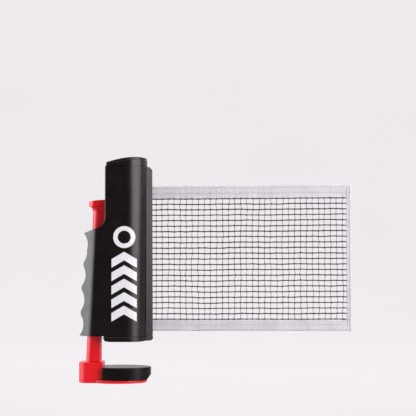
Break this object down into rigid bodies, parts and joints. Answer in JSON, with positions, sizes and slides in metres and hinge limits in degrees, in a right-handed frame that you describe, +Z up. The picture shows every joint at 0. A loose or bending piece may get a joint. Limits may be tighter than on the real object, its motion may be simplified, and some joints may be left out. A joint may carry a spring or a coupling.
{
  "type": "table tennis net clamp",
  "caption": "Clamp-on table tennis net post with a spring-loaded jaw slide, a finger grip and a net that draws out of a slot from an inner rewind roller.",
  "frame": {"origin": "on the roller axis, level with the underside of the upper jaw pad, where the table top is", "axes": "+X the way the net draws out, -Y the front, +Z up along the roller axis"},
  "size_m": [0.2635, 0.0404, 0.2167],
  "materials": {
    "black_plastic": "satin moulded",
    "red_plastic": "glossy moulded",
    "jaw_rubber": "satin",
    "steel": "zinc plated",
    "bush_plastic": "natural",
    "net_cord": "twisted cord net",
    "net_tape": "woven tape",
    "rod_plastic": "drawn rod"
  },
  "bodies": {
    "housing": {"front_shell": "black_plastic", "rear_shell": "black_plastic", "top_cap": "black_plastic", "bottom_cap": "black_plastic", "upper_jaw_pad": "jaw_rubber", "spring_seat": "black_plastic", "spring_guide_rod": "steel", "roller_axle": "steel", "axle_clip": "steel", "shell_screws": "steel", "cap_screws": "steel", "clamp_spring": "steel"},
    "slide": {"slide_column": "red_plastic", "jaw_foot": "red_plastic", "jaw_block": "jaw_rubber", "foot_screws": "steel"},
    "roller": {"roller_tube": "steel", "upper_bush": "bush_plastic", "lower_bush": "bush_plastic", "rewind_spring": "steel", "net_roll": "net_cord", "net_clip_strip": "bush_plastic"},
    "net_end": {"net_mesh": "net_cord", "net_band_top": "net_tape", "net_band_bottom": "net_tape", "end_hem": "net_tape", "end_rod": "rod_plastic"}
  },
  "joints": [
    {"name": "jaw_slide", "type": "slide", "parent": "housing", "child": "slide", "axis": [0, 0, 1], "range_m": [-0.0256, 0.0241], "stiffness_N_per_m": 900, "deforming": ["clamp_spring"]},
    {"name": "net_draw", "type": "slide", "parent": "housing", "child": "net_end", "axis": [1, 0, 0], "range_m": [-0.189, 0], "deforming": ["net_mesh", "net_band_top", "net_band_bottom"]},
    {"name": "roller_spin", "type": "hinge", "parent": "housing", "child": "roller", "pos_m": [0, 0, 0], "axis": [0, 0, 1], "continuous": true}
  ],
  "couplings": [
    {"joint": "roller_spin", "follows": "net_draw", "rad_per_m": -64.1}
  ]
}
